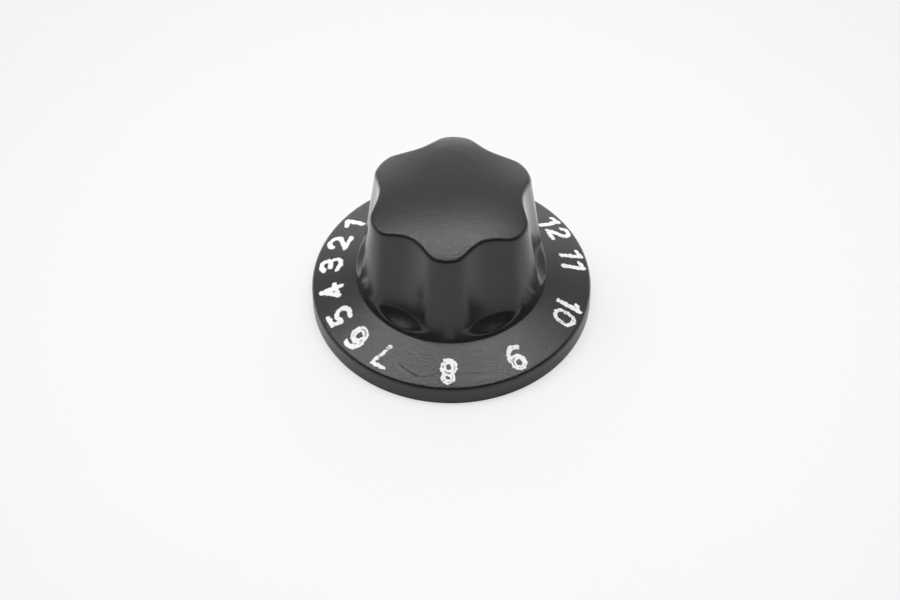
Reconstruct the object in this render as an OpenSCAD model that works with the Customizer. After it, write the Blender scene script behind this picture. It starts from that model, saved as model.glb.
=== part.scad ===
// Control knob with a round numbered skirt and a six-lobed fluted grip.
// Millimetres. The origin is the middle of the rim's underside, on the shaft axis.
// +Z points up through the grip, and number 8 faces -Y.

/* [Skirt] */
// Radius of the numbered skirt
skirt_r = 30; // [28:0.5:36]
// Slope of the skirt's conical face
skirt_slope = 22; // [14:1:26]
// Height at which the rim's upright wall ends and its rounded edge starts
rim_h = 3.9; // [3.5:0.1:5]
// Radius of the rim's rounded edge
rim_edge_r = 1; // [0.5:0.1:1.5]
// Thickness of the rim's upright wall
rim_wall = 2.2; // [1.5:0.1:3]
// Thickness of the skirt's plate, measured upright
plate_t = 2.2; // [1.6:0.1:2.6]

/* [Grip] */
// Radius of the grip where it meets the skirt
grip_r = 20.5; // [19.5:0.1:21.5]
// Height of the crown above the rim's underside
knob_h = 34.8; // [30:0.2:40]
// Draft of the grip's side
grip_draft = 6.7; // [3:0.1:8]
// Radius of the ball that shapes the crown
crown_r = 42; // [36:1:80]
// Radius of the rounded edge between side and crown
grip_edge_r = 0.8; // [0.4:0.1:1.4]
// Number of finger flutes
flutes = 6; // [5:1:8]
// Direction of the lobe that is nearest to number 8
lobe_angle = 266.2; // [240:0.2:300]
// Radius of a flute's hollow
flute_r = 7.5; // [6:0.1:9]
// Depth of a flute before its shoulders are rounded
flute_depth = 2.2; // [1.4:0.1:2.6]
// Width of the rounding where a flute meets a lobe
shoulder = 4.6; // [1:0.1:5]
// Height of the ledge at a flute's foot above the skirt
ledge_h = 0.9; // [0.5:0.1:2]
// Radius of the hollow that ends a flute at its ledge
flute_end_r = 2.6; // [2:0.1:4]

/* [Inside] */
// Thickness of the wall behind a flute
grip_wall = 2.1; // [1.5:0.1:2.6]
// Thickness of the roof under the crown
roof_t = 2.6; // [1.8:0.1:4]
// Radius of the hub around the shaft
hub_r = 6; // [5.2:0.1:7]
// Height of the hub's end above the rim's underside
hub_end_h = 1.2; // [0.5:0.1:4]
// Number of ribs between hub and grip
ribs = 4; // [3:1:6]
// Thickness of a rib
rib_t = 1.6; // [1:0.1:2.4]
// Height at which the ribs start
rib_start_h = 9; // [8:0.5:14]

/* [Shaft seat] */
// Radius of the shaft that the knob is pushed on
shaft_r = 3; // [2.8:0.05:3.2]
// Distance from the shaft's flat to its far side
shaft_flat = 4.6; // [4.4:0.05:5]
// Clearance around the shaft in the D-shaped seat
seat_gap = 0.05; // [0.02:0.01:0.15]
// Clearance around the shaft in the round mouth
mouth_gap = 0.3; // [0.25:0.05:0.4]
// Length of the round mouth
mouth_len = 5; // [3:0.5:7]
// Chamfer at the mouth
mouth_chamfer = 0.5; // [0.2:0.1:0.8]
// Depth of the D-shaped seat beyond the mouth
seat_len = 14.5; // [13.5:0.5:18]

/* [Leaf spring] */
// Thickness of the spring strip
leaf_t = 0.4; // [0.3:0.05:0.5]
// Width of the spring strip
leaf_w = 3.6; // [3:0.1:4]
// Length of the spring between its two ends
leaf_len = 12; // [10:0.5:13]
// How far the spring's bow stands into the seat before the shaft is in
leaf_bite = 0.15; // [0.05:0.05:0.3]
// Depth of the spring's pocket behind the flat
pocket_depth = 1.45; // [1.2:0.05:1.8]
// Clearance around the spring in its pocket
pocket_gap = 0.1; // [0.05:0.05:0.2]

/* [Numbers] */
// Radius on which the numbers stand
number_r = 26.2; // [25.8:0.1:26.8]
// Height of a digit between the middles of its strokes
digit_h = 4.3; // [3.6:0.1:4.5]
// Width of a digit's stroke
stroke_w = 1.15; // [0.8:0.05:1.3]
// Distance between the two digits of 10, 11 and 12
digit_pitch = 3.3; // [3:0.1:3.6]
// Depth of the painted recess
paint_depth = 0.3; // [0.2:0.05:0.5]

/* [Hidden] */
$fn = 96;

// Overlap of cutting bodies beyond the surface they cut
eps = 0.5;

// Most that the rounding of the shoulders adds to a flute's depth
rounding_cut = 0.4;

// Smallest width of that rounding, used below the ledge
least_shoulder = 0.3;

// Half the turn over which a lobe's corner is softened
soften = 3;

// How fast a hollow leaves its circle beyond its tangent
leave_rate = 3;

// How far inside the foot's radius the grip's upper edge lies, roughly
edge_inset = 3;

// How far hub and ribs reach into the roof and the grip's wall
root = 0.7;

// How much wider a stroke's round end is than the stroke, on either side
cap_extra = 0.04;

// Share of the pitch by which the first of two digits stands left of its number's direction
pair_shift = 0.58;

// Direction of each number, from 1 to 12
number_angle = [143, 158, 173, 190, 205, 220, 236, 269, 302, 337, 9.5, 32];

// Each digit is a list of strokes, in shares of half the digit's height.
// Four values are a bar from one point to another.
// Five values are a bow: centre, radius, first and last angle.
digit_strokes = [
    [[0, 0.28, 0.72, 0, 180], [0, -0.28, 0.72, 180, 360],
     [0.72, -0.28, 0.72, 0.28], [-0.72, -0.28, -0.72, 0.28]],
    [[-0.1, 1, -0.72, 0.55], [-0.1, 1, 0, -1]],
    [[-0.1, 0.3, 0.7, -25, 165], [0.43, -0.13, -0.8, -1], [-0.8, -1, 0.7, -1]],
    [[0.12, 0.48, 0.54, -90, 125], [-0.35, 0.82, -0.7, 0.6], [0.12, -0.44, 0.58, -125, 90],
     [-0.36, -0.79, -0.7, -0.85], [-0.25, 0, 0.12, 0]],
    [[0.4, 0.9, -0.7, -0.55], [-0.7, -0.55, 0.8, -0.5], [0.4, 0.9, 0.36, -1.05]],
    [[0.6, 1, -0.5, 1], [-0.5, 1, -0.65, 0.2], [-0.03, -0.33, 0.68, -140, 130], [-0.65, 0.2, -0.25, 0.32]],
    [[-0.1, -0.3, 0.68, 0, 360], [0.06, 0.15, 0.88, 65, 190]],
    [[-0.95, 1, 0.45, 1], [0.45, 1, -0.3, -1]],
    [[0.1, 0.52, 0.46, 0, 360], [0.06, -0.4, 0.6, 0, 360]],
    [[0.15, 0.5, 0.58, 0, 360], [0.08, -0.1, 0.8, -125, 20]]
];

crown_mid_z = knob_h - crown_r;
skirt_rise = tan(skirt_slope);
cone_edge_r = skirt_r - rim_edge_r * (1 - sin(skirt_slope));
cone_edge_z = rim_h + rim_edge_r * cos(skirt_slope);
grip_foot_z = skirt_z(grip_r);
ledge_z = grip_foot_z + ledge_h;
cavity_r = grip_r - flute_depth - rounding_cut - grip_wall;
cavity_draft = grip_draft - 0.2;
under_r = skirt_r - rim_wall;
mouth_r = shaft_r + mouth_gap;
seat_r = shaft_r + seat_gap;
mouth_end_z = hub_end_h + mouth_chamfer + mouth_len;
flat_y = shaft_flat - shaft_r + seat_gap;
lead_len = mouth_r - flat_y;
pocket_y = flat_y + pocket_depth;
pocket_z = mouth_end_z + lead_len;
pocket_len = leaf_len + 2 * pocket_gap;
leaf_mid_z = pocket_z + pocket_len / 2;
leaf_sag = pocket_y - leaf_t - (flat_y - leaf_bite);
leaf_in_r = (pow(leaf_len / 2, 2) + pow(leaf_sag, 2)) / (2 * leaf_sag);

cap_r = stroke_w / 2 + cap_extra;

// Height near the upper end of the grip's side
side_end_z = crown_z(grip_r - edge_inset);

// Steps of the grip's mesh: around, up the side, over the edge and across the crown
around = 120;
side_steps = 18;
edge_steps = 4;
crown_steps = 5;

// Power that draws the rings of the side together towards its foot
ring_power = 1.5;

// Height of the skirt's conical face at radius r
function skirt_z(r) = cone_edge_z + (cone_edge_r - r) * skirt_rise;

// Height of the crown at radius r
function crown_z(r) = crown_mid_z + sqrt(crown_r * crown_r - r * r);

// The smaller of two lengths, with the corner between them rounded over width k
function soft_min(a, b, k) = let (h = max(k - abs(a - b), 0) / k) min(a, b) - h * h * k / 4;

// Radius of the grip without its flutes at height z
function lobe_r(z) = grip_r - (z - grip_foot_z) * tan(grip_draft);

// How far a flute's floor has moved out at height z, where it curves onto its ledge
function foot_rise(z) = let (s = min(max(ledge_z + flute_end_r - z, 0), flute_end_r))
    flute_end_r - sqrt(flute_end_r * flute_end_r - s * s);

// Radius of a flute's hollow at angle p from its middle, with its floor at radius f
function flute_hollow(p, f) = let (c = f + flute_r, h = flute_r * flute_r - pow(c * sin(p), 2))
    c * cos(p) - (h > 0 ? sqrt(h) : -leave_rate * sqrt(-h));

// Angle from the middle of the nearest flute
function flute_turn(a) = let (t = (a - lobe_angle) / (360 / flutes)) (t - floor(t) - 0.5) * 360 / flutes;

// Radius of the grip's side in direction a at height z, before the lobes' corners are softened
function raw_side_r(a, z) = let (
    f = lobe_r(z) - flute_depth + foot_rise(z),
    k = max(least_shoulder, shoulder * min(1, max(0, (z - ledge_z) / flute_end_r))))
    soft_min(lobe_r(z), flute_hollow(flute_turn(a), f), k);

// Radius of the grip's side in direction a at height z
function side_r(a, z) = raw_side_r(a, z) / 2 + (raw_side_r(a - soften, z) + raw_side_r(a + soften, z)) / 4;

// Radius, height and turn of the rounded edge where the side ends in direction a
function edge_start(a) = let (
    r0 = side_r(a, side_end_z),
    turn = 90 - asin(r0 / crown_r),
    z = crown_z(r0 - grip_edge_r * (1 - cos(turn))) - grip_edge_r * sin(turn))
    [side_r(a, z), z, turn];

// One point of the grip in direction a: the side, then the edge, then the crown
function grip_point(a, j) = let (
    e = edge_start(a),
    foot = grip_foot_z - plate_t / 2,
    up = j <= side_steps ? pow(j / side_steps, ring_power) : 1,
    t = e[2] * min(max(j - side_steps, 0), edge_steps) / edge_steps,
    z = foot + (e[1] - foot) * up + grip_edge_r * sin(t),
    r = side_r(a, min(z, e[1])) - grip_edge_r * (1 - cos(t)),
    in = max(j - side_steps - edge_steps, 0) / crown_steps,
    rc = r * (1 - in))
    in > 0 ? [rc * cos(a), rc * sin(a), crown_z(rc)] : [r * cos(a), r * sin(a), z];

// Solid body of the grip, from inside the skirt's plate to the crown
module grip() {
    rings = side_steps + edge_steps + crown_steps;
    side = [for (j = [0:rings - 1]) for (i = [0:around - 1]) grip_point(i * 360 / around, j)];
    pole = len(side);
    strips = [for (j = [0:rings - 2]) for (i = [0:around - 1]) let (n = (i + 1) % around)
        [j * around + i, (j + 1) * around + i, (j + 1) * around + n, j * around + n]];
    cap = [for (i = [0:around - 1]) let (n = (i + 1) % around)
        [(rings - 1) * around + i, pole, (rings - 1) * around + n]];
    bottom = [[for (i = [0:around - 1]) i]];
    polyhedron(concat(side, [[0, 0, knob_h]]), concat(strips, cap, bottom), convexity = 6);
}

// A ring of the skirt between two heights above its conical face
module face_layer(low, high) {
    r0 = number_r - digit_h / 2 - stroke_w;
    r1 = cone_edge_r;
    rotate_extrude()
        polygon([[r0, skirt_z(r0) + low], [r1, skirt_z(r1) + low],
                 [r1, skirt_z(r1) + high], [r0, skirt_z(r0) + high]]);
}

// One stroke of a digit as an upright prism with round ends
module stroke(s, h) {
    u = digit_h / 2;
    if (len(s) == 4) {
        length = u * norm([s[2] - s[0], s[3] - s[1]]);
        translate([u * s[0], u * s[1], 0]) {
            rotate([0, 0, atan2(s[3] - s[1], s[2] - s[0])])
                translate([0, -stroke_w / 2, 0]) cube([length, stroke_w, h]);
            cylinder(h = h, r = cap_r);
        }
        translate([u * s[2], u * s[3], 0]) cylinder(h = h, r = cap_r);
    } else {
        translate([u * s[0], u * s[1], 0]) {
            difference() {
                cylinder(h = h, r = u * s[2] + stroke_w / 2);
                translate([0, 0, -eps]) cylinder(h = h + 2 * eps, r = u * s[2] - stroke_w / 2);
                if (s[4] - s[3] < 360) open_sector(s[4], s[3] + 360, u * s[2] + stroke_w, h);
            }
            if (s[4] - s[3] < 360)
                for (a = [s[3], s[4]]) translate([u * s[2] * cos(a), u * s[2] * sin(a), 0])
                    cylinder(h = h, r = cap_r);
        }
    }
}

// The wedge that is left out of a bow, from angle a to angle b, cut to radius r
module open_sector(a, b, r, h) {
    m = (a + b) / 2;
    translate([0, 0, -eps]) linear_extrude(h + 2 * eps)
        polygon([[0, 0], [2 * r * cos(a), 2 * r * sin(a)],
                 [3 * r * cos(m), 3 * r * sin(m)], [2 * r * cos(b), 2 * r * sin(b)]]);
}

// The numbers 1 to 12 as upright prisms on the skirt, with their tops outwards
module number_prisms() {
    low = skirt_z(skirt_r) - plate_t / 2;
    h = skirt_z(number_r - digit_h) - low;
    for (n = [1:12]) rotate([0, 0, number_angle[n - 1] - 90]) translate([0, number_r, low]) {
        digits = n < 10 ? [n] : [1, n - 10];
        for (k = [0:len(digits) - 1])
            translate([n < 10 ? 0 : (k - pair_shift) * digit_pitch, 0, 0])
                for (s = digit_strokes[digits[k]]) stroke(s, h);
    }
}

// Skirt with its rim, solid underneath, with recesses for the paint
module skirt() {
    difference() {
        rotate_extrude() {
            polygon([[0, 0], [skirt_r, 0], [skirt_r, rim_h], [cone_edge_r, cone_edge_z],
                [grip_r - grip_wall, skirt_z(grip_r - grip_wall)], [0, skirt_z(grip_r - grip_wall)]]);
            translate([skirt_r - rim_edge_r, rim_h]) circle(rim_edge_r);
        }
        intersection() {
            number_prisms();
            face_layer(-paint_depth, plate_t);
        }
    }
}

// Hollow under the skirt and inside the grip, grown outwards and upwards by g
module cavity(g = 0) {
    top = knob_h;
    slope_z = skirt_z(cavity_r) - plate_t;
    intersection() {
        rotate_extrude() polygon([
            [0, -eps], [under_r + g, -eps], [under_r + g, skirt_z(under_r) - plate_t],
            [cavity_r + g, slope_z], [cavity_r + g - (top - slope_z) * tan(cavity_draft), top], [0, top]]);
        translate([0, 0, crown_mid_z]) sphere(crown_r - roof_t + g);
    }
}

// Hub and ribs, reaching a little into the roof and the grip's wall
module hub_and_ribs() {
    intersection() {
        union() {
            translate([0, 0, hub_end_h]) cylinder(h = knob_h, r = hub_r);
            for (i = [0:ribs - 1]) rotate([0, 0, (i + 0.5) * 360 / ribs])
                translate([0, -rib_t / 2, rib_start_h]) cube([grip_r, rib_t, knob_h]);
        }
        cavity(root);
    }
}

// Round mouth, its lead-in cone, the D-shaped seat and the spring's pocket, cut from the hub
module shaft_seat() {
    translate([0, 0, -eps]) cylinder(h = mouth_end_z + eps, r = mouth_r);
    translate([0, 0, mouth_end_z]) cylinder(h = lead_len, r1 = mouth_r, r2 = flat_y);
    translate([0, 0, hub_end_h]) cylinder(h = mouth_chamfer, r1 = mouth_r + mouth_chamfer, r2 = mouth_r);
    intersection() {
        translate([0, 0, mouth_end_z - eps]) cylinder(h = seat_len + eps, r = seat_r);
        translate([-seat_r - eps, -seat_r - eps, 0])
            cube([2 * (seat_r + eps), seat_r + eps + flat_y, knob_h]);
    }
    translate([-leaf_w / 2 - pocket_gap, 0, pocket_z])
        cube([leaf_w + 2 * pocket_gap, pocket_y, pocket_len]);
}

// The black moulding: skirt, grip, hub and ribs in one piece
module knob_moulding() {
    color([0.09, 0.09, 0.095]) difference() {
        union() {
            difference() {
                union() {
                    skirt();
                    grip();
                }
                cavity();
            }
            hub_and_ribs();
        }
        shaft_seat();
    }
}

// White paint that fills the recessed numbers flush with the skirt
module number_paint() {
    color("white") intersection() {
        number_prisms();
        face_layer(-paint_depth, 0);
    }
}

// Bowed steel strip that presses the shaft against the far side of its seat
module shaft_spring() {
    color("silver") intersection() {
        translate([0, pocket_y + leaf_in_r - leaf_sag, leaf_mid_z]) rotate([0, 90, 0]) difference() {
            cylinder(h = leaf_w, r = leaf_in_r + leaf_t, center = true, $fn = 180);
            cylinder(h = leaf_w + eps, r = leaf_in_r, center = true, $fn = 180);
        }
        translate([-leaf_w / 2, -hub_r, leaf_mid_z - leaf_len / 2]) cube([leaf_w, 2 * hub_r, leaf_len]);
    }
}

knob_moulding();
number_paint();
shaft_spring();
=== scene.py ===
"""An appliance control knob: black moulded plastic with a six-lobed fluted grip, white painted numbers
on a sloping skirt, and a steel leaf spring in its shaft seat. Lengths are in millimetres and angles in
radians until a mesh is made, which turns them into metres. The axes are the frame's: +Z up the shaft
axis, number 8 towards -Y."""

import bpy
import numpy as np
from mathutils import Matrix, Vector


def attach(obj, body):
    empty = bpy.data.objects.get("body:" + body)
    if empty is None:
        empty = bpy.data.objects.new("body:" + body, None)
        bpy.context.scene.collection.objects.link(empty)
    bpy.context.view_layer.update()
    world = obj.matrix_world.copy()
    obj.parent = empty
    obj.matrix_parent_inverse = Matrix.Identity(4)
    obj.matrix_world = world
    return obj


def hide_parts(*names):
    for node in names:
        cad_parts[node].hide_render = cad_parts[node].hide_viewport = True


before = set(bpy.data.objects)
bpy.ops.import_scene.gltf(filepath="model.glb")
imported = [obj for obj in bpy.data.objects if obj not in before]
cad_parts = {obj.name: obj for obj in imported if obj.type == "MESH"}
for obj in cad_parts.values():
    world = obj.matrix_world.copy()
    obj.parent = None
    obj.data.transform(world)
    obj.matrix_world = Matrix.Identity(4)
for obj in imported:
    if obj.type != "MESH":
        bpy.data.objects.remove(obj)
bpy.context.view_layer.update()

MM = 0.001

# Skirt
SKIRT_R = 30.0
SKIRT_RISE = np.tan(np.radians(22))
SKIRT_TILT = np.radians(22)
RIM_H = 3.9
RIM_EDGE_R = 1.0
RIM_WALL = 2.2
PLATE_T = 2.2
CONE_EDGE_R = SKIRT_R - RIM_EDGE_R * (1 - np.sin(SKIRT_TILT))
CONE_EDGE_Z = RIM_H + RIM_EDGE_R * np.cos(SKIRT_TILT)
BOTTOM_EDGE_R = 0.25

# Grip
GRIP_R = 20.5
KNOB_H = 34.8
GRIP_DRAFT = np.radians(6.7)
CROWN_R = 42.0
CROWN_MID_Z = KNOB_H - CROWN_R
GRIP_EDGE_R = 1.25
FLUTES = 6
FLUTE_PITCH = 2 * np.pi / FLUTES
LOBE_ANGLE = np.radians(266.2)
FLUTE_R = 7.5
FLUTE_DEPTH = 2.2
SHOULDER = 4.6
LEAST_SHOULDER = 0.3
LEAVE_RATE = 3.0
SOFTEN = np.radians(5)
WAVE_DEPTH = 3.0
WAVE_SHARE = 0.65
LEDGE_H = 0.9
FLUTE_END_H = 2.6
FLUTE_END_OUT = 2.7
FLUTE_END_CURVE = 1.7
FOOT_FILLET_R = 0.3

# Inside
CAVITY_R = GRIP_R - FLUTE_DEPTH - 0.4 - 2.1
CAVITY_DRAFT = GRIP_DRAFT - np.radians(0.2)
ROOF_T = 2.6
HUB_R = 6.0
HUB_END_Z = 1.2
RIBS = 4
RIB_T = 1.6
RIB_START_Z = 9.0
MOUTH_R = 3.3
MOUTH_END_Z = 6.7
MOUTH_CHAMFER = 0.5
SEAT_R = 3.05
SEAT_FLAT_Y = 1.65
SEAT_END_Z = MOUTH_END_Z + 14.5
LEAD_LEN = MOUTH_R - SEAT_FLAT_Y
POCKET_HALF_W = 1.9
POCKET_Y = 3.1
POCKET_START_Z = MOUTH_END_Z + LEAD_LEN
POCKET_END_Z = POCKET_START_Z + 12.2

# Numbers
NUMBER_R = 26.15
NUMBER_ANGLE = {1: 143, 2: 158, 3: 173, 4: 190, 5: 205, 6: 220, 7: 236, 8: 269, 9: 302, 10: 337, 11: 9,
                12: 32}
PAINT_LIFT = 0.035

# Points around the moulding, and the corner angle from which an edge is drawn sharp
AROUND = 480
SPLIT_ANGLE = np.radians(32)


def skirt_z(r):
    """Height of the conical face at radius r: it falls evenly from the grip to the rim."""
    return CONE_EDGE_Z + (CONE_EDGE_R - r) * SKIRT_RISE


def crown_z(r):
    """Height of the crown at radius r, on a ball around a point low on the axis."""
    return CROWN_MID_Z + np.sqrt(CROWN_R**2 - r**2)


def soft_min(a, b, k):
    """The smaller of a and b, with the corner between them rounded over width k."""
    h = np.maximum(k - np.abs(a - b), 0) / k
    return np.minimum(a, b) - h * h * k / 4


GRIP_FOOT_Z = skirt_z(GRIP_R)
LEDGE_Z = GRIP_FOOT_Z + LEDGE_H
CAVITY_FOOT_Z = skirt_z(CAVITY_R) - PLATE_T


def fluted_r(a, z):
    """Radius of the grip's side in direction a at height z: a cone, cut by six round hollows whose
    floors run parallel to it and curve outwards at the foot, onto a ledge."""
    lobe = GRIP_R - (z - GRIP_FOOT_Z) * np.tan(GRIP_DRAFT)
    sunk = np.clip((LEDGE_Z + FLUTE_END_H - z) / FLUTE_END_H, 0, 1)
    floor = lobe - FLUTE_DEPTH + FLUTE_END_OUT * sunk**FLUTE_END_CURVE
    turn = (a - LOBE_ANGLE) / FLUTE_PITCH
    p = (turn - np.floor(turn) - 0.5) * FLUTE_PITCH
    middle = floor + FLUTE_R
    h = FLUTE_R**2 - (middle * np.sin(p)) ** 2
    root = np.sqrt(np.abs(h))
    hollow = middle * np.cos(p) - np.where(h > 0, root, -LEAVE_RATE * root)
    width = np.maximum(LEAST_SHOULDER, SHOULDER * np.clip((z - LEDGE_Z) / FLUTE_END_H, 0, 1))
    return soft_min(lobe, hollow, width)


def side_r(a, z):
    """fluted_r averaged over a few degrees around, which softens the lobes' corners. Towards the top it
    turns more and more into an even wave."""
    shifts = np.linspace(-1, 1, 9)
    weights = 1.1 - np.abs(shifts)
    weights /= weights.sum()
    fluted = sum(w * fluted_r(a + s * SOFTEN, z) for w, s in zip(weights, shifts))
    lobe = GRIP_R + 0.1 - (z - GRIP_FOOT_Z) * np.tan(GRIP_DRAFT)
    wave = lobe - WAVE_DEPTH / 2 * (1 - np.cos(FLUTES * (a - LOBE_ANGLE)))
    share = WAVE_SHARE * np.clip((z - LEDGE_Z - FLUTE_END_H) / (KNOB_H - LEDGE_Z - FLUTE_END_H), 0, 1)
    return fluted + share * (wave - fluted)


def ring(r, a, z):
    """Points at radius r, direction a and height z, as an array of (x, y, z) rows."""
    r, a, z = np.broadcast_arrays(r, a, z)
    return np.stack([r * np.cos(a), r * np.sin(a), z], axis=-1)


def arc(mid_r, mid_z, radius, first, last, steps):
    """(r, z) pairs along a circle around (mid_r, mid_z), with angles measured from outwards to up."""
    t = np.linspace(first, last, steps)
    return list(zip(mid_r + radius * np.cos(t), mid_z + radius * np.sin(t)))


def grip_rings(a):
    """Rings of the grip from near the pole of its crown down to its foot. The rounded edge leaves the
    side along the outline's own normal, so that it is as wide in a flute as on a lobe."""
    def outline(z):
        p = ring(side_r(a, z), a, 0 * a)
        along = np.roll(p, -1, axis=0) - np.roll(p, 1, axis=0)
        out = np.stack([along[:, 1], -along[:, 0], 0 * a], axis=-1)
        return p, out / np.linalg.norm(out, axis=1, keepdims=True)

    edge_z = np.full_like(a, crown_z(GRIP_R - 3))
    for _ in range(3):
        p, out = outline(edge_z)
        tilt = np.arcsin(np.sum(p * out, axis=1) / CROWN_R)
        top = np.pi / 2 - tilt
        step = GRIP_EDGE_R * (np.cos(GRIP_DRAFT) - np.cos(top))
        inner = p - out * step[:, None]
        end_r = np.hypot(inner[:, 0], inner[:, 1])
        edge_z = crown_z(end_r) - GRIP_EDGE_R * (np.sin(top) - np.sin(GRIP_DRAFT))
    rings = []
    end_a = np.arctan2(inner[:, 1], inner[:, 0])
    for f in np.linspace(0, 1, 30)[1:-1] ** 0.9:
        rings.append(ring(f * end_r, end_a, crown_z(f * end_r)))
    for f in np.linspace(1, 0, 11):
        t = GRIP_DRAFT + f * (top - GRIP_DRAFT)
        q = p - out * (GRIP_EDGE_R * (np.cos(GRIP_DRAFT) - np.cos(t)))[:, None]
        q[:, 2] = edge_z + GRIP_EDGE_R * (np.sin(t) - np.sin(GRIP_DRAFT))
        rings.append(q)
    upper = LEDGE_Z + 1.2 * FLUTE_END_H
    foot = GRIP_FOOT_Z + FOOT_FILLET_R
    for f in np.linspace(1, 0, 24)[1:]:
        z = upper + f * (edge_z - upper)
        rings.append(ring(side_r(a, z), a, z))
    for z in np.linspace(upper, foot, 36)[1:]:
        rings.append(ring(side_r(a, np.full_like(a, z)), a, z))
    return rings


def turned_profile():
    """(r, z) pairs of everything below the grip that is round: the fillet at its foot, the conical
    face, the rim with its rounded edges, the recess under the skirt, the cavity, the hub and the
    mouth of its bore."""
    # The fillet's middle lies at its radius from both the grip's cone and the skirt's.
    lean = np.array([[np.cos(GRIP_DRAFT), np.sin(GRIP_DRAFT)], [np.sin(SKIRT_TILT), np.cos(SKIRT_TILT)]])
    foot = np.array([GRIP_R, GRIP_FOOT_Z])
    mid_r, mid_z = np.linalg.solve(lean, lean @ foot + FOOT_FILLET_R)
    out = arc(mid_r, mid_z, FOOT_FILLET_R, np.pi + GRIP_DRAFT, 1.5 * np.pi - SKIRT_TILT, 7)
    out += [(r, skirt_z(r)) for r in np.linspace(out[-1][0], CONE_EDGE_R, 12)[1:-1]]
    out += arc(SKIRT_R - RIM_EDGE_R, RIM_H, RIM_EDGE_R, np.pi / 2 - SKIRT_TILT, 0, 10)
    out += [(SKIRT_R, RIM_H / 2)]
    out += arc(SKIRT_R - BOTTOM_EDGE_R, BOTTOM_EDGE_R, BOTTOM_EDGE_R, 0, -np.pi / 2, 5)
    under_r = SKIRT_R - RIM_WALL
    out += arc(under_r + BOTTOM_EDGE_R, BOTTOM_EDGE_R, BOTTOM_EDGE_R, -np.pi / 2, -np.pi, 5)
    out += [(r, skirt_z(r) - PLATE_T) for r in np.linspace(under_r, CAVITY_R, 12)]
    roof_r = CROWN_R - ROOF_T
    wall_r, wall_z = CAVITY_R, CAVITY_FOOT_Z
    for _ in range(20):
        wall_z = CROWN_MID_Z + np.sqrt(roof_r**2 - wall_r**2)
        wall_r = CAVITY_R - (wall_z - CAVITY_FOOT_Z) * np.tan(CAVITY_DRAFT)
    out += [(CAVITY_R + f * (wall_r - CAVITY_R), CAVITY_FOOT_Z + f * (wall_z - CAVITY_FOOT_Z))
            for f in np.linspace(0, 1, 8)[1:]]
    out += [(r, CROWN_MID_Z + np.sqrt(roof_r**2 - r**2)) for r in np.linspace(wall_r, HUB_R, 8)[1:]]
    out += [(HUB_R, z) for z in np.linspace(CROWN_MID_Z + roof_r, HUB_END_Z, 6)[1:-1]]
    out += [(HUB_R, HUB_END_Z + 0.15), (HUB_R - 0.15, HUB_END_Z), (MOUTH_R + MOUTH_CHAMFER, HUB_END_Z)]
    out += [(MOUTH_R, HUB_END_Z + MOUTH_CHAMFER), (MOUTH_R, MOUTH_END_Z)]
    return out


def seat_rings(a):
    """Rings of the lead-in cone, of the D-shaped seat and of the spring's pocket behind its flat. In each
    direction the wall is the nearer of the circle and the flat, or that of the cone or the pocket
    where it is farther out."""
    up = np.maximum(np.sin(a), 1e-6)
    side = np.maximum(np.abs(np.cos(a)), 1e-6)
    seat = np.where(np.sin(a) > 0, np.minimum(SEAT_R, SEAT_FLAT_Y / up), SEAT_R)
    pocket = np.where(np.sin(a) > 0, np.minimum(POCKET_Y / up, POCKET_HALF_W / side), 0)
    both = np.maximum(seat, pocket)
    rings = [ring(np.maximum(seat, MOUTH_R - rise), a, MOUTH_END_Z + rise)
             for rise in np.linspace(0, LEAD_LEN, 8)[1:]]
    return rings + [ring(both, a, POCKET_START_Z + 0.01), ring(both, a, POCKET_END_Z),
                    ring(seat, a, POCKET_END_Z + 0.01), ring(seat, a, SEAT_END_Z)]


def make_object(name, points, faces):
    """A smooth-shaded mesh object from points in millimetres, with the edges of sharp corners split."""
    mesh = bpy.data.meshes.new(name)
    mesh.from_pydata((np.asarray(points) * MM).tolist(), [], faces)
    mesh.validate()
    mesh.shade_smooth()
    mesh.set_sharp_from_angle(angle=SPLIT_ANGLE)
    piece = bpy.data.objects.new(name, mesh)
    bpy.context.scene.collection.objects.link(piece)
    return piece


def closed_grid(rings, first_pole, last_pole):
    """Points and faces of a closed skin: rings of equal length, one after the other, and a pole at
    either end."""
    count, around = len(rings), len(rings[0])
    points = np.concatenate([np.concatenate(rings), [first_pole, last_pole]])
    k, i = np.meshgrid(np.arange(count - 1), np.arange(around), indexing="ij")
    n = (i + 1) % around
    quads = np.stack([k * around + i, (k + 1) * around + i, (k + 1) * around + n, k * around + n], axis=-1)
    i = np.arange(around)
    n = (i + 1) % around
    low = (count - 1) * around
    pole = count * around
    top = np.stack([np.full_like(i, pole), i, n], axis=-1)
    end = np.stack([low + i, np.full_like(i, pole + 1), low + n], axis=-1)
    return points, quads.reshape(-1, 4).tolist() + top.tolist() + end.tolist()


def rib(angle):
    """Points and faces of one rib: its outline in radius and height, from the hub to the cavity's wall
    and up into the roof, carried across its thickness."""
    reach = 0.5
    roof_r = CROWN_R - ROOF_T
    r = np.linspace(HUB_R - 1, 13.2, 6)
    lower = [(HUB_R - 1, RIB_START_Z),
             (CAVITY_R - (RIB_START_Z - CAVITY_FOOT_Z) * np.tan(CAVITY_DRAFT) + reach, RIB_START_Z)]
    upper = [(v, CROWN_MID_Z + np.sqrt(roof_r**2 - v**2) + reach) for v in r[::-1] + [0.7, 0, 0, 0, 0, 0]]
    profile = np.array(lower + upper)
    count = len(profile)
    along = np.array([np.cos(angle), np.sin(angle), 0])
    across = np.array([np.sin(angle), -np.cos(angle), 0])
    points = [p[0] * along + [0, 0, p[1]] + s * RIB_T / 2 * across for s in (1, -1) for p in profile]
    faces = [list(range(count)), list(range(2 * count - 1, count - 1, -1))]
    faces += [[i, i + count, (i + 1) % count + count, (i + 1) % count] for i in range(count)]
    return np.array(points), faces


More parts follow.
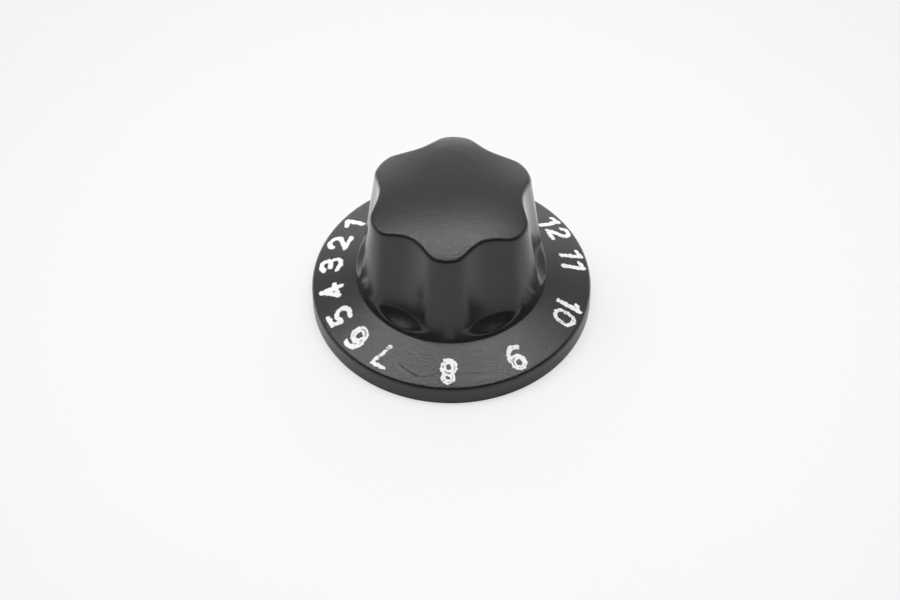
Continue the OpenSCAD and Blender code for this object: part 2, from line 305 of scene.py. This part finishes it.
def knob_moulding():
    """The black moulding as one closed skin, with its four ribs as closed solids that reach into it."""
    a = np.arange(AROUND) * 2 * np.pi / AROUND
    rings = grip_rings(a)
    rings += [ring(r, a, z) for r, z in turned_profile()]
    rings += seat_rings(a)
    points, faces = closed_grid(rings, (0, 0, KNOB_H), (0, 0, SEAT_END_Z))
    for i in range(RIBS):
        more, rib_faces = rib((i + 0.5) * 2 * np.pi / RIBS)
        faces += [[v + len(points) for v in f] for f in rib_faces]
        points = np.concatenate([points, more])
    return make_object("knob_body", points, faces)


# Strokes of each number in millimetres from its middle, x clockwise around the skirt and y outwards.
# Four values and a width are a bar from point to point; five and a width are a bow: its middle, its
# radius, and its first and last angle in degrees. The last value is how plainly the pen's double
# line shows in the stroke.
STROKES = {
    1: [(-0.4, 2.0, -1.7, 1.05, 1.2, 0), (-0.14, 2.0, -0.1, -2.2, 1.2, 0)],
    2: [(-0.23, 0.64, 1.5, -20, 165, 1.2, 0), (1.18, 0.13, -1.75, -2.1, 1.2, 0),
        (-1.75, -2.1, 1.5, -2.15, 1.2, 0)],
    3: [(-1.45, 1.3, -0.3, 2.0, 1.1, 0), (0.32, 1.05, 1.1, -90, 120, 1.1, 0),
        (0.36, -1.0, 1.15, -120, 90, 1.1, 0), (-1.5, -1.7, -0.3, -2.1, 1.2, 0),
        (-0.6, 0.0, 0.4, 0.0, 1.1, 0)],
    4: [(0.9, 1.85, -1.5, -1.5, 1.1, 0), (-1.5, -1.35, 1.8, -1.05, 1.2, 0),
        (0.9, 1.85, 0.75, -2.4, 1.15, 0), (0.3, 0.4, 0.2, -0.9, 0.7, 0)],
    5: [(-1.05, 2.1, 1.3, 2.2, 1.1, 0), (-1.1, 2.05, -1.45, 0.4, 1.1, 0),
        (-0.1, -0.8, 1.4, -130, 130, 1.15, 0), (-1.45, 0.4, -0.9, 0.3, 1.1, 0),
        (-1.5, -1.8, -1.0, -1.9, 1.1, 0)],
    6: [(0.1, 0.4, 1.9, 62, 200, 1.15, 0.5), (-0.25, -0.65, 1.3, 0, 360, 1.35, 0.8)],
    7: [(-2.1, 2.2, 1.0, 2.25, 0.85, 0), (0.95, 2.1, -0.65, -2.1, 0.85, 0.9)],
    8: [(0.35, 1.3, 1.0, 0, 360, 1.0, 0.9), (0.2, -0.75, 1.2, 0, 360, 1.3, 0.9)],
    9: [(0.5, 1.2, 1.2, 0, 360, 1.15, 0.8), (0.2, -0.2, 1.75, -125, 30, 1.1, 0.5)],
    10: [(-2.0, 2.5, -1.7, -2.1, 1.1, 0.5), (-2.2, 2.2, -3.15, 1.5, 1.0, 0.3),
         (0.05, 1.1, 0.05, -0.3, 0.9, 0.7), (2.75, 1.1, 2.75, -0.3, 0.9, 0.7),
         (1.4, 1.0, 1.4, 20, 160, 1.0, 0.7), (1.4, -0.2, 1.4, 200, 340, 1.0, 0.7)],
    11: [(-1.7, 2.5, -1.3, -2.0, 1.1, 0), (-2.0, 2.4, -3.1, 1.8, 1.0, 0),
         (1.75, 2.5, 1.75, -2.0, 1.1, 0), (1.4, 2.4, 0.2, 1.8, 1.0, 0)],
    12: [(-1.35, 2.35, -1.2, -2.3, 1.15, 0.3), (-1.8, 2.2, -2.95, 1.7, 1.0, 0.2),
         (2.05, 1.3, 1.2, -30, 160, 1.1, 0.2), (3.1, 0.7, 0.7, -1.7, 1.15, 0.3),
         (0.7, -1.9, 3.3, -2.1, 1.1, 0)],
}


def stroke_distance(s, x, y):
    """Distance of points (x, y) from the middle line of one stroke."""
    if len(s) == 6:
        ax, ay, bx, by = s[:4]
        t = np.clip(((x - ax) * (bx - ax) + (y - ay) * (by - ay)) / ((bx - ax) ** 2 + (by - ay) ** 2), 0, 1)
        return np.hypot(x - ax - t * (bx - ax), y - ay - t * (by - ay))
    mx, my, r, first, last = s[:5]
    middle, half = np.radians((first + last) / 2), np.radians((last - first) / 2)
    a = np.arctan2(y - my, x - mx) - middle
    a = (a + np.pi) % (2 * np.pi) - np.pi
    on = middle + np.clip(a, -half, half)
    return np.hypot(x - mx - r * np.cos(on), y - my - r * np.sin(on))


def lattice_noise(rng, shape, cell):
    """Smooth random values of about -1 to 1 on a grid: random values every cell steps, blended between
    by a cosine."""
    rows, cols = shape[0] // cell + 2, shape[1] // cell + 2
    knots = rng.uniform(-1, 1, (rows, cols))
    v, u = np.arange(shape[0]) / cell, np.arange(shape[1]) / cell
    j, i = v.astype(int), u.astype(int)
    fv = (0.5 - 0.5 * np.cos(np.pi * (v - j)))[:, None]
    fu = (0.5 - 0.5 * np.cos(np.pi * (u - i)))[None, :]
    low = knots[j][:, i] * (1 - fu) + knots[j][:, i + 1] * fu
    high = knots[j + 1][:, i] * (1 - fu) + knots[j + 1][:, i + 1] * fu
    return low * (1 - fv) + high * fv


def number_relief():
    """The painted numbers as thin closed sheets on the cone. Over a fine grid the height follows the
    distance to the nearest stroke's edge, roughened by noise, so that the sheet stands a little proud
    inside a stroke and dives under the plastic outside it."""
    cell, margin, sole = 0.07, 0.1, 0.12
    rng = np.random.default_rng(7)
    points, faces, cover = [], [], []
    for number, strokes in STROKES.items():
        half_w = 4.4 if number > 9 else 3.0
        x, y = np.meshgrid(np.arange(-half_w, half_w, cell), np.arange(-3.3, 3.5, cell))
        gap = np.full(x.shape, 9.0)
        line = np.zeros(x.shape)
        drift = 0.16 * lattice_noise(rng, x.shape, 9)
        for s in strokes:
            d = stroke_distance(s, x, y)
            nearer = d - s[-2] / 2 < gap
            line = np.where(nearer, (0.3 + 0.7 * s[-1]) * np.exp(-((d - drift) / 0.11) ** 2), line)
            gap = np.minimum(gap, d - s[-2] / 2)
        gap = gap + 0.15 * lattice_noise(rng, x.shape, 7) + 0.1 * lattice_noise(rng, x.shape, 4)
        broken = np.clip(0.5 + 1.3 * lattice_noise(rng, x.shape, 7), 0, 1)
        speckle = 0.12 * np.abs(lattice_noise(rng, x.shape, 3))
        paint = np.clip(-gap / 0.16, 0, 1)
        white = (0.25 + 0.75 * paint) * (1 - line * broken) - speckle
        lift = np.clip(-gap * 0.6, -0.06, PAINT_LIFT * (1 - 0.6 * line * broken))
        a = np.radians(NUMBER_ANGLE[number])
        r = NUMBER_R + y
        px, py = r * np.cos(a) + x * np.sin(a), r * np.sin(a) - x * np.cos(a)
        base = skirt_z(np.hypot(px, py))
        keep = (gap < margin)
        cells = keep[:-1, :-1] | keep[1:, :-1] | keep[:-1, 1:] | keep[1:, 1:]
        index = np.arange(x.size).reshape(x.shape)
        under = x.size
        quad = np.stack([index[:-1, :-1], index[1:, :-1], index[1:, 1:], index[:-1, 1:]], axis=-1)
        top = quad[cells]
        sides = []
        padded = np.pad(cells, 1)
        for dj, di, p, q in ((-1, 0, 3, 0), (1, 0, 1, 2), (0, -1, 0, 1), (0, 1, 2, 3)):
            outer = cells & ~padded[1 + dj:padded.shape[0] - 1 + dj, 1 + di:padded.shape[1] - 1 + di]
            e = quad[outer]
            sides.append(np.stack([e[:, q], e[:, p], e[:, p] + under, e[:, q] + under], axis=-1))
        every = np.concatenate([top, top[:, ::-1] + under] + sides)
        used, packed = np.unique(every, return_inverse=True)
        sheet = np.concatenate([np.stack([px, py, base + lift], -1).reshape(-1, 3),
                                np.stack([px, py, base - sole], -1).reshape(-1, 3)])
        shift = sum(len(p) for p in points)
        points.append(sheet[used])
        faces += (packed.reshape(every.shape) + shift).tolist()
        cover.append(np.concatenate([white.ravel(), white.ravel()])[used])
    piece = make_object("number_relief", np.concatenate(points), faces)
    piece.data.attributes.new("cover", "FLOAT", "POINT").data.foreach_set("value", np.concatenate(cover))
    return piece


class Wire:
    """A shader socket that Python's operators work on. An expression on numbers adds Math nodes."""

    def __init__(self, shader, socket):
        self.shader, self.socket = shader, socket

    def math(self, operation, *others):
        return self.shader.node("ShaderNodeMath", {"operation": operation}, *others)

    def __add__(self, other): return self.math("ADD", self, other)
    def __radd__(self, other): return self.math("ADD", other, self)
    def __sub__(self, other): return self.math("SUBTRACT", self, other)
    def __rsub__(self, other): return self.math("SUBTRACT", other, self)
    def __mul__(self, other): return self.math("MULTIPLY", self, other)
    def __rmul__(self, other): return self.math("MULTIPLY", other, self)
    def __truediv__(self, other): return self.math("DIVIDE", self, other)
    def __abs__(self): return self.math("ABSOLUTE", self)


class Shader:
    """The node tree of one material or world."""

    def __init__(self, owner):
        owner.use_nodes = True
        self.tree = owner.node_tree
        self.tree.nodes.clear()

    def node(self, kind, settings=None, *values, out=0, **named):
        """Adds a node: its settings first, then the values or wires of its inputs by place or name.
        Returns a wire from its output number or name."""
        n = self.tree.nodes.new(kind)
        for key, value in (settings or {}).items():
            setattr(n, key, value)
        for key, value in list(enumerate(values)) + list(named.items()):
            socket = n.inputs[key.replace("_", " ") if isinstance(key, str) else key]
            if isinstance(value, Wire):
                self.tree.links.new(value.socket, socket)
            elif value is not None:
                socket.default_value = value
        return Wire(self, n.outputs[out]) if n.outputs else None

    def step(self, value, low, high):
        """0 below low, 1 above high and a smooth rise between them."""
        smooth = {"interpolation_type": "SMOOTHSTEP"}
        return self.node("ShaderNodeMapRange", smooth, value, low, high, 0.0, 1.0)

    def mix(self, factor, first, second):
        """A colour between first and second."""
        n = self.node("ShaderNodeMix", {"data_type": "RGBA"}, out="Result").socket.node
        for key, value in (("Factor", factor), ("A", first), ("B", second)):
            socket = [s for s in n.inputs if s.name == key and s.enabled][0]
            if isinstance(value, Wire):
                self.tree.links.new(value.socket, socket)
            else:
                socket.default_value = value
        return Wire(self, [s for s in n.outputs if s.enabled][0])

    def finish(self, surface, kind="ShaderNodeOutputMaterial"):
        self.node(kind, None, surface)


def noise(sh, where, size, detail=2.0, rough=0.5):
    """Noise of 0 to 1 whose grains are about size millimetres across."""
    return sh.node("ShaderNodeTexNoise", None, Vector=where, Scale=1 / (size * MM), Detail=detail,
                   Roughness=rough)


# Scratches on the skirt's front, as arcs in plan: middle, radius, first and last angle in degrees, width
# and depth
SCRATCHES = [((1.09, -11.66), 17.38, -135.5, -116.5, 0.16, 1.0),
             ((-6.31, -16.45), 10.74, -92.5, -75, 0.12, 0.45),
             ((5.65, -42.82), 16.41, 87, 99.5, 0.09, 0.5)]
DUST_CELL = 2.2


def scratches(sh, where):
    """Depth of the scratches, 0 to 1: each is a thin arc that fades out at its ends."""
    x, y = (sh.node("ShaderNodeSeparateXYZ", None, where, out=axis) for axis in "XY")
    depth = 0.0
    for (mid_x, mid_y), radius, first, last, width, strength in SCRATCHES:
        dx, dy = x / MM - mid_x, y / MM - mid_y
        off = abs(sh.node("ShaderNodeMath", {"operation": "SQRT"}, dx * dx + dy * dy) - radius)
        middle, half = np.radians((first + last) / 2), np.radians((last - first) / 2)
        ahead = dx * np.cos(middle) + dy * np.sin(middle)
        aside = abs(dy * np.cos(middle) - dx * np.sin(middle))
        within = 1 - sh.step(aside / radius, 0.75 * np.sin(half), np.sin(half))
        depth = depth + strength * (1 - sh.step(off, 0, width)) * within * sh.step(ahead, 0, 1)
    return depth


def dust(sh, where):
    """Specks of dust, 0 to 1: a dot in the middle of one cell in four."""
    scale = 1 / (DUST_CELL * MM)
    near = sh.node("ShaderNodeTexVoronoi", None, Vector=where, Scale=scale, out="Distance")
    tint = sh.node("ShaderNodeTexVoronoi", None, Vector=where, Scale=scale, out="Color")
    chosen = sh.node("ShaderNodeSeparateColor", None, tint, out="Red")
    return (1 - sh.step(near, 0.03, 0.08)) * sh.step(chosen, 0.74, 0.76)


def black_plastic():
    """Black ABS from a spark-eroded mould: a fine grain on the crown and the skirt, smoother walls, a
    faint haze of handling, specks of dust, and the scratches on the skirt's front."""
    material = bpy.data.materials.new("black_plastic")
    sh = Shader(material)
    where = sh.node("ShaderNodeTexCoord", out="Object")
    facing = sh.node("ShaderNodeTexCoord", out="Normal")
    up = sh.node("ShaderNodeSeparateXYZ", None, facing, out="Z")
    textured = sh.step(up, 0.3, 0.8)
    grain = noise(sh, where, 0.4, 2.0)
    fine = noise(sh, where, 0.2, 1.0)
    haze = noise(sh, where, 6.0, 3.0)
    height = (grain * 0.7 + fine * 0.3) * (textured * 0.8 + 0.2)
    rough = 0.2 + 0.04 * haze + 0.02 * textured
    scratch = scratches(sh, where)
    height = height - 0.5 * scratch
    colour = sh.mix(haze, (0.008, 0.0078, 0.0083, 1), (0.0125, 0.012, 0.0128, 1))
    colour = sh.mix(dust(sh, where), colour, (0.09, 0.09, 0.09, 1))
    normal = sh.node("ShaderNodeBump", None, Strength=1.0, Distance=0.085 * MM, Height=height)
    surface = sh.node("ShaderNodeBsdfPrincipled", None, Base_Color=colour, Roughness=rough, Normal=normal,
                      IOR=1.5)
    sh.finish(surface)
    return material


def white_paint():
    """Matt white ink, thin at its rough edges and where the pen's double line shows."""
    material = bpy.data.materials.new("white_paint")
    sh = Shader(material)
    where = sh.node("ShaderNodeTexCoord", out="Object")
    cover = sh.node("ShaderNodeAttribute", {"attribute_name": "cover"}, out="Fac")
    grain = noise(sh, where, 0.2, 2.0)
    normal = sh.node("ShaderNodeBump", None, Strength=1.0, Distance=0.02 * MM, Height=grain)
    colour = sh.mix(sh.step(cover, 0.0, 0.9), (0.03, 0.03, 0.03, 1), (0.94, 0.94, 0.93, 1))
    surface = sh.node("ShaderNodeBsdfPrincipled", None, Base_Color=colour, Roughness=0.55, Normal=normal)
    sh.finish(surface)
    return material


def spring_steel():
    """Rolled strip: bright, with fine lines along its length."""
    material = bpy.data.materials.new("spring_steel")
    sh = Shader(material)
    where = sh.node("ShaderNodeTexCoord", out="Object")
    stretched = sh.node("ShaderNodeVectorMath", {"operation": "MULTIPLY"}, where, (1.0, 1.0, 0.05))
    lines = noise(sh, stretched, 0.1, 2.0)
    normal = sh.node("ShaderNodeBump", None, Strength=0.4, Distance=0.01 * MM, Height=lines)
    surface = sh.node("ShaderNodeBsdfPrincipled", None, Base_Color=(0.55, 0.55, 0.56, 1), Metallic=1.0,
                      Roughness=0.22 + 0.16 * lines, Normal=normal)
    sh.finish(surface)
    return material


# How bright the backdrop looks, and how much of that the board gives off by itself
BACKDROP = 0.95
BOARD_GLOW = 0.62
# How much dimmer the board looks far out, and how much brighter its back is in reflections
BOARD_FADE = 0.09
BOARD_BEHIND = 0.9


def white_floor():
    """Smooth white board that glows a little, so that its shadow stays light. From below it is clear,
    and so is what the part covers, which shows the part's underside and lets light to it."""
    material = bpy.data.materials.new("white_floor")
    sh = Shader(material)
    where = sh.node("ShaderNodeTexCoord", out="Object")
    away = sh.node("ShaderNodeVectorMath", {"operation": "LENGTH"}, where, out="Value")
    board = sh.node("ShaderNodeBsdfDiffuse", None, Color=(0.84, 0.84, 0.84, 1))
    level = BACKDROP - BOARD_FADE * sh.step(away, 0.06, 0.15)
    glow = sh.node("ShaderNodeEmission", None, Color=(1, 1, 1, 1), Strength=level)
    seen = sh.node("ShaderNodeLightPath", out="Is Camera Ray") * BOARD_GLOW
    surface = sh.node("ShaderNodeMixShader", None, seen, board, glow)
    behind = sh.step(sh.node("ShaderNodeSeparateXYZ", None, where, out="Y"), -0.01, 0.05)
    mirrored = sh.node("ShaderNodeLightPath", out="Is Glossy Ray") * behind * BOARD_BEHIND
    bright = sh.node("ShaderNodeEmission", None, Color=(1, 1, 1, 1), Strength=mirrored)
    surface = sh.node("ShaderNodeAddShader", None, surface, bright)
    clear = sh.node("ShaderNodeBsdfTransparent")
    from_below = sh.node("ShaderNodeNewGeometry", out="Backfacing")
    under_part = 1 - sh.step(away, (SKIRT_R - RIM_WALL) * MM, (SKIRT_R - 0.6 * RIM_WALL) * MM)
    surface = sh.node("ShaderNodeMixShader", None, from_below + under_part, surface, clear)
    sh.finish(surface)
    return material


moulding = knob_moulding()
moulding.data.materials.append(black_plastic())
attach(moulding, "root")
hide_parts("knob_moulding")

numbers = number_relief()
numbers.data.materials.append(white_paint())
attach(numbers, "root")
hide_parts("number_paint")

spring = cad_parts["shaft_spring"]
spring.material_slots[0].material = spring_steel()

floor_mesh = bpy.data.meshes.new("floor")
floor_mesh.from_pydata([(-4, -4, 0), (4, -4, 0), (4, 4, 0), (-4, 4, 0)], [], [(0, 1, 2, 3)])
floor = bpy.data.objects.new("floor", floor_mesh)
bpy.context.scene.collection.objects.link(floor)
floor_mesh.materials.append(white_floor())


def studio_level(sky):
    """How bright the studio is in each direction, as a share of white. Above hangs a long softbox whose
    back edge bows away at its ends. A pale wall stands behind, with a lamp low on either side, and the
    room on the camera's side is dim. What lights the part from below is hidden by the floor."""
    direction = sky.node("ShaderNodeTexCoord", out="Generated")
    x, y, z = (sky.node("ShaderNodeSeparateXYZ", None, direction, out=axis) for axis in "XYZ")
    rise = sky.node("ShaderNodeMath", {"operation": "MAXIMUM"}, z, 0.05)
    across, along = x / rise + SOFTBOX_SHIFT, y / rise
    bowed = along - SOFTBOX_BOW * across * across
    softbox = 1 - sky.step(bowed, SOFTBOX_BACK - 0.04, SOFTBOX_BACK + 0.04)
    softbox = softbox * sky.step(along, SOFTBOX_FRONT - 0.05, SOFTBOX_FRONT + 0.05)
    softbox = softbox * (1 - sky.step(abs(across), SOFTBOX_END - 0.15, SOFTBOX_END + 0.15))
    softbox = softbox * sky.step(z, 0.2, 0.4)
    wall = sky.step(y, -0.15, 0.25) * (WALL_FOOT + (WALL - WALL_FOOT) * sky.step(z, 0.1, 0.5))
    wall = wall * (1 - WALL_SIDES * sky.step(abs(x), 0.3, 0.7))
    lamps = sky.step(y, 0.5, 0.7) * sky.step(z, 0.1, 0.2) * (1 - sky.step(z, 0.3, 0.45))
    lamps = lamps * sky.step(abs(x), 0.2, 0.32) * (1 - sky.step(abs(x), 0.48, 0.62))
    below = UNDER * (1 - sky.step(z, -0.1, 0))
    return ROOM + SOFTBOX * softbox + wall + LAMPS * lamps + below


# Brightness of the studio's parts as shares of white, and the softbox's edges as slopes from straight up
SOFTBOX = 5.8
SOFTBOX_BACK = 0.185
SOFTBOX_BOW = 0.3
SOFTBOX_SHIFT = 0.2
SOFTBOX_FRONT = -0.11
SOFTBOX_END = 0.8
WALL = 0.88
WALL_FOOT = 0.5
WALL_SIDES = 0.35
LAMPS = 1.6
ROOM = 0.12
UNDER = 0.9

world = bpy.data.worlds.new("studio")
bpy.context.scene.world = world
sky = Shader(world)
light = sky.node("ShaderNodeBackground", None, Color=(0.995, 0.983, 1, 1), Strength=studio_level(sky))
white = sky.node("ShaderNodeBackground", None, Color=(1, 1, 1, 1), Strength=BACKDROP)
camera_ray = sky.node("ShaderNodeLightPath", out="Is Camera Ray")
sky.finish(sky.node("ShaderNodeMixShader", None, camera_ray, light, white), "ShaderNodeOutputWorld")

# Camera: fitted to the rim's two ellipses and the grip's outline.
CAMERA_DOWN = np.radians(49.7)
CAMERA_ROLL = np.radians(-0.31)
CAMERA_SHIFT = (0.31, -1.20)
CAMERA_AWAY = 541.7
LENS = 100.0
ahead = Vector((0, np.cos(CAMERA_DOWN), -np.sin(CAMERA_DOWN)))
above = Vector((0, np.sin(CAMERA_DOWN), np.cos(CAMERA_DOWN)))
right = Vector((1, 0, 0))
camera = bpy.data.objects.new("camera", bpy.data.cameras.new("camera"))
camera.data.lens = LENS
camera.data.sensor_width = 36.0
place = (-CAMERA_SHIFT[0] * right + CAMERA_SHIFT[1] * above - CAMERA_AWAY * ahead) * MM
turn = Matrix((right, above, -ahead)).transposed().to_4x4()
camera.matrix_world = Matrix.Translation(place) @ turn @ Matrix.Rotation(CAMERA_ROLL, 4, "Z")
bpy.context.scene.collection.objects.link(camera)
bpy.context.scene.camera = camera
bpy.context.scene.view_settings.view_transform = "Standard"
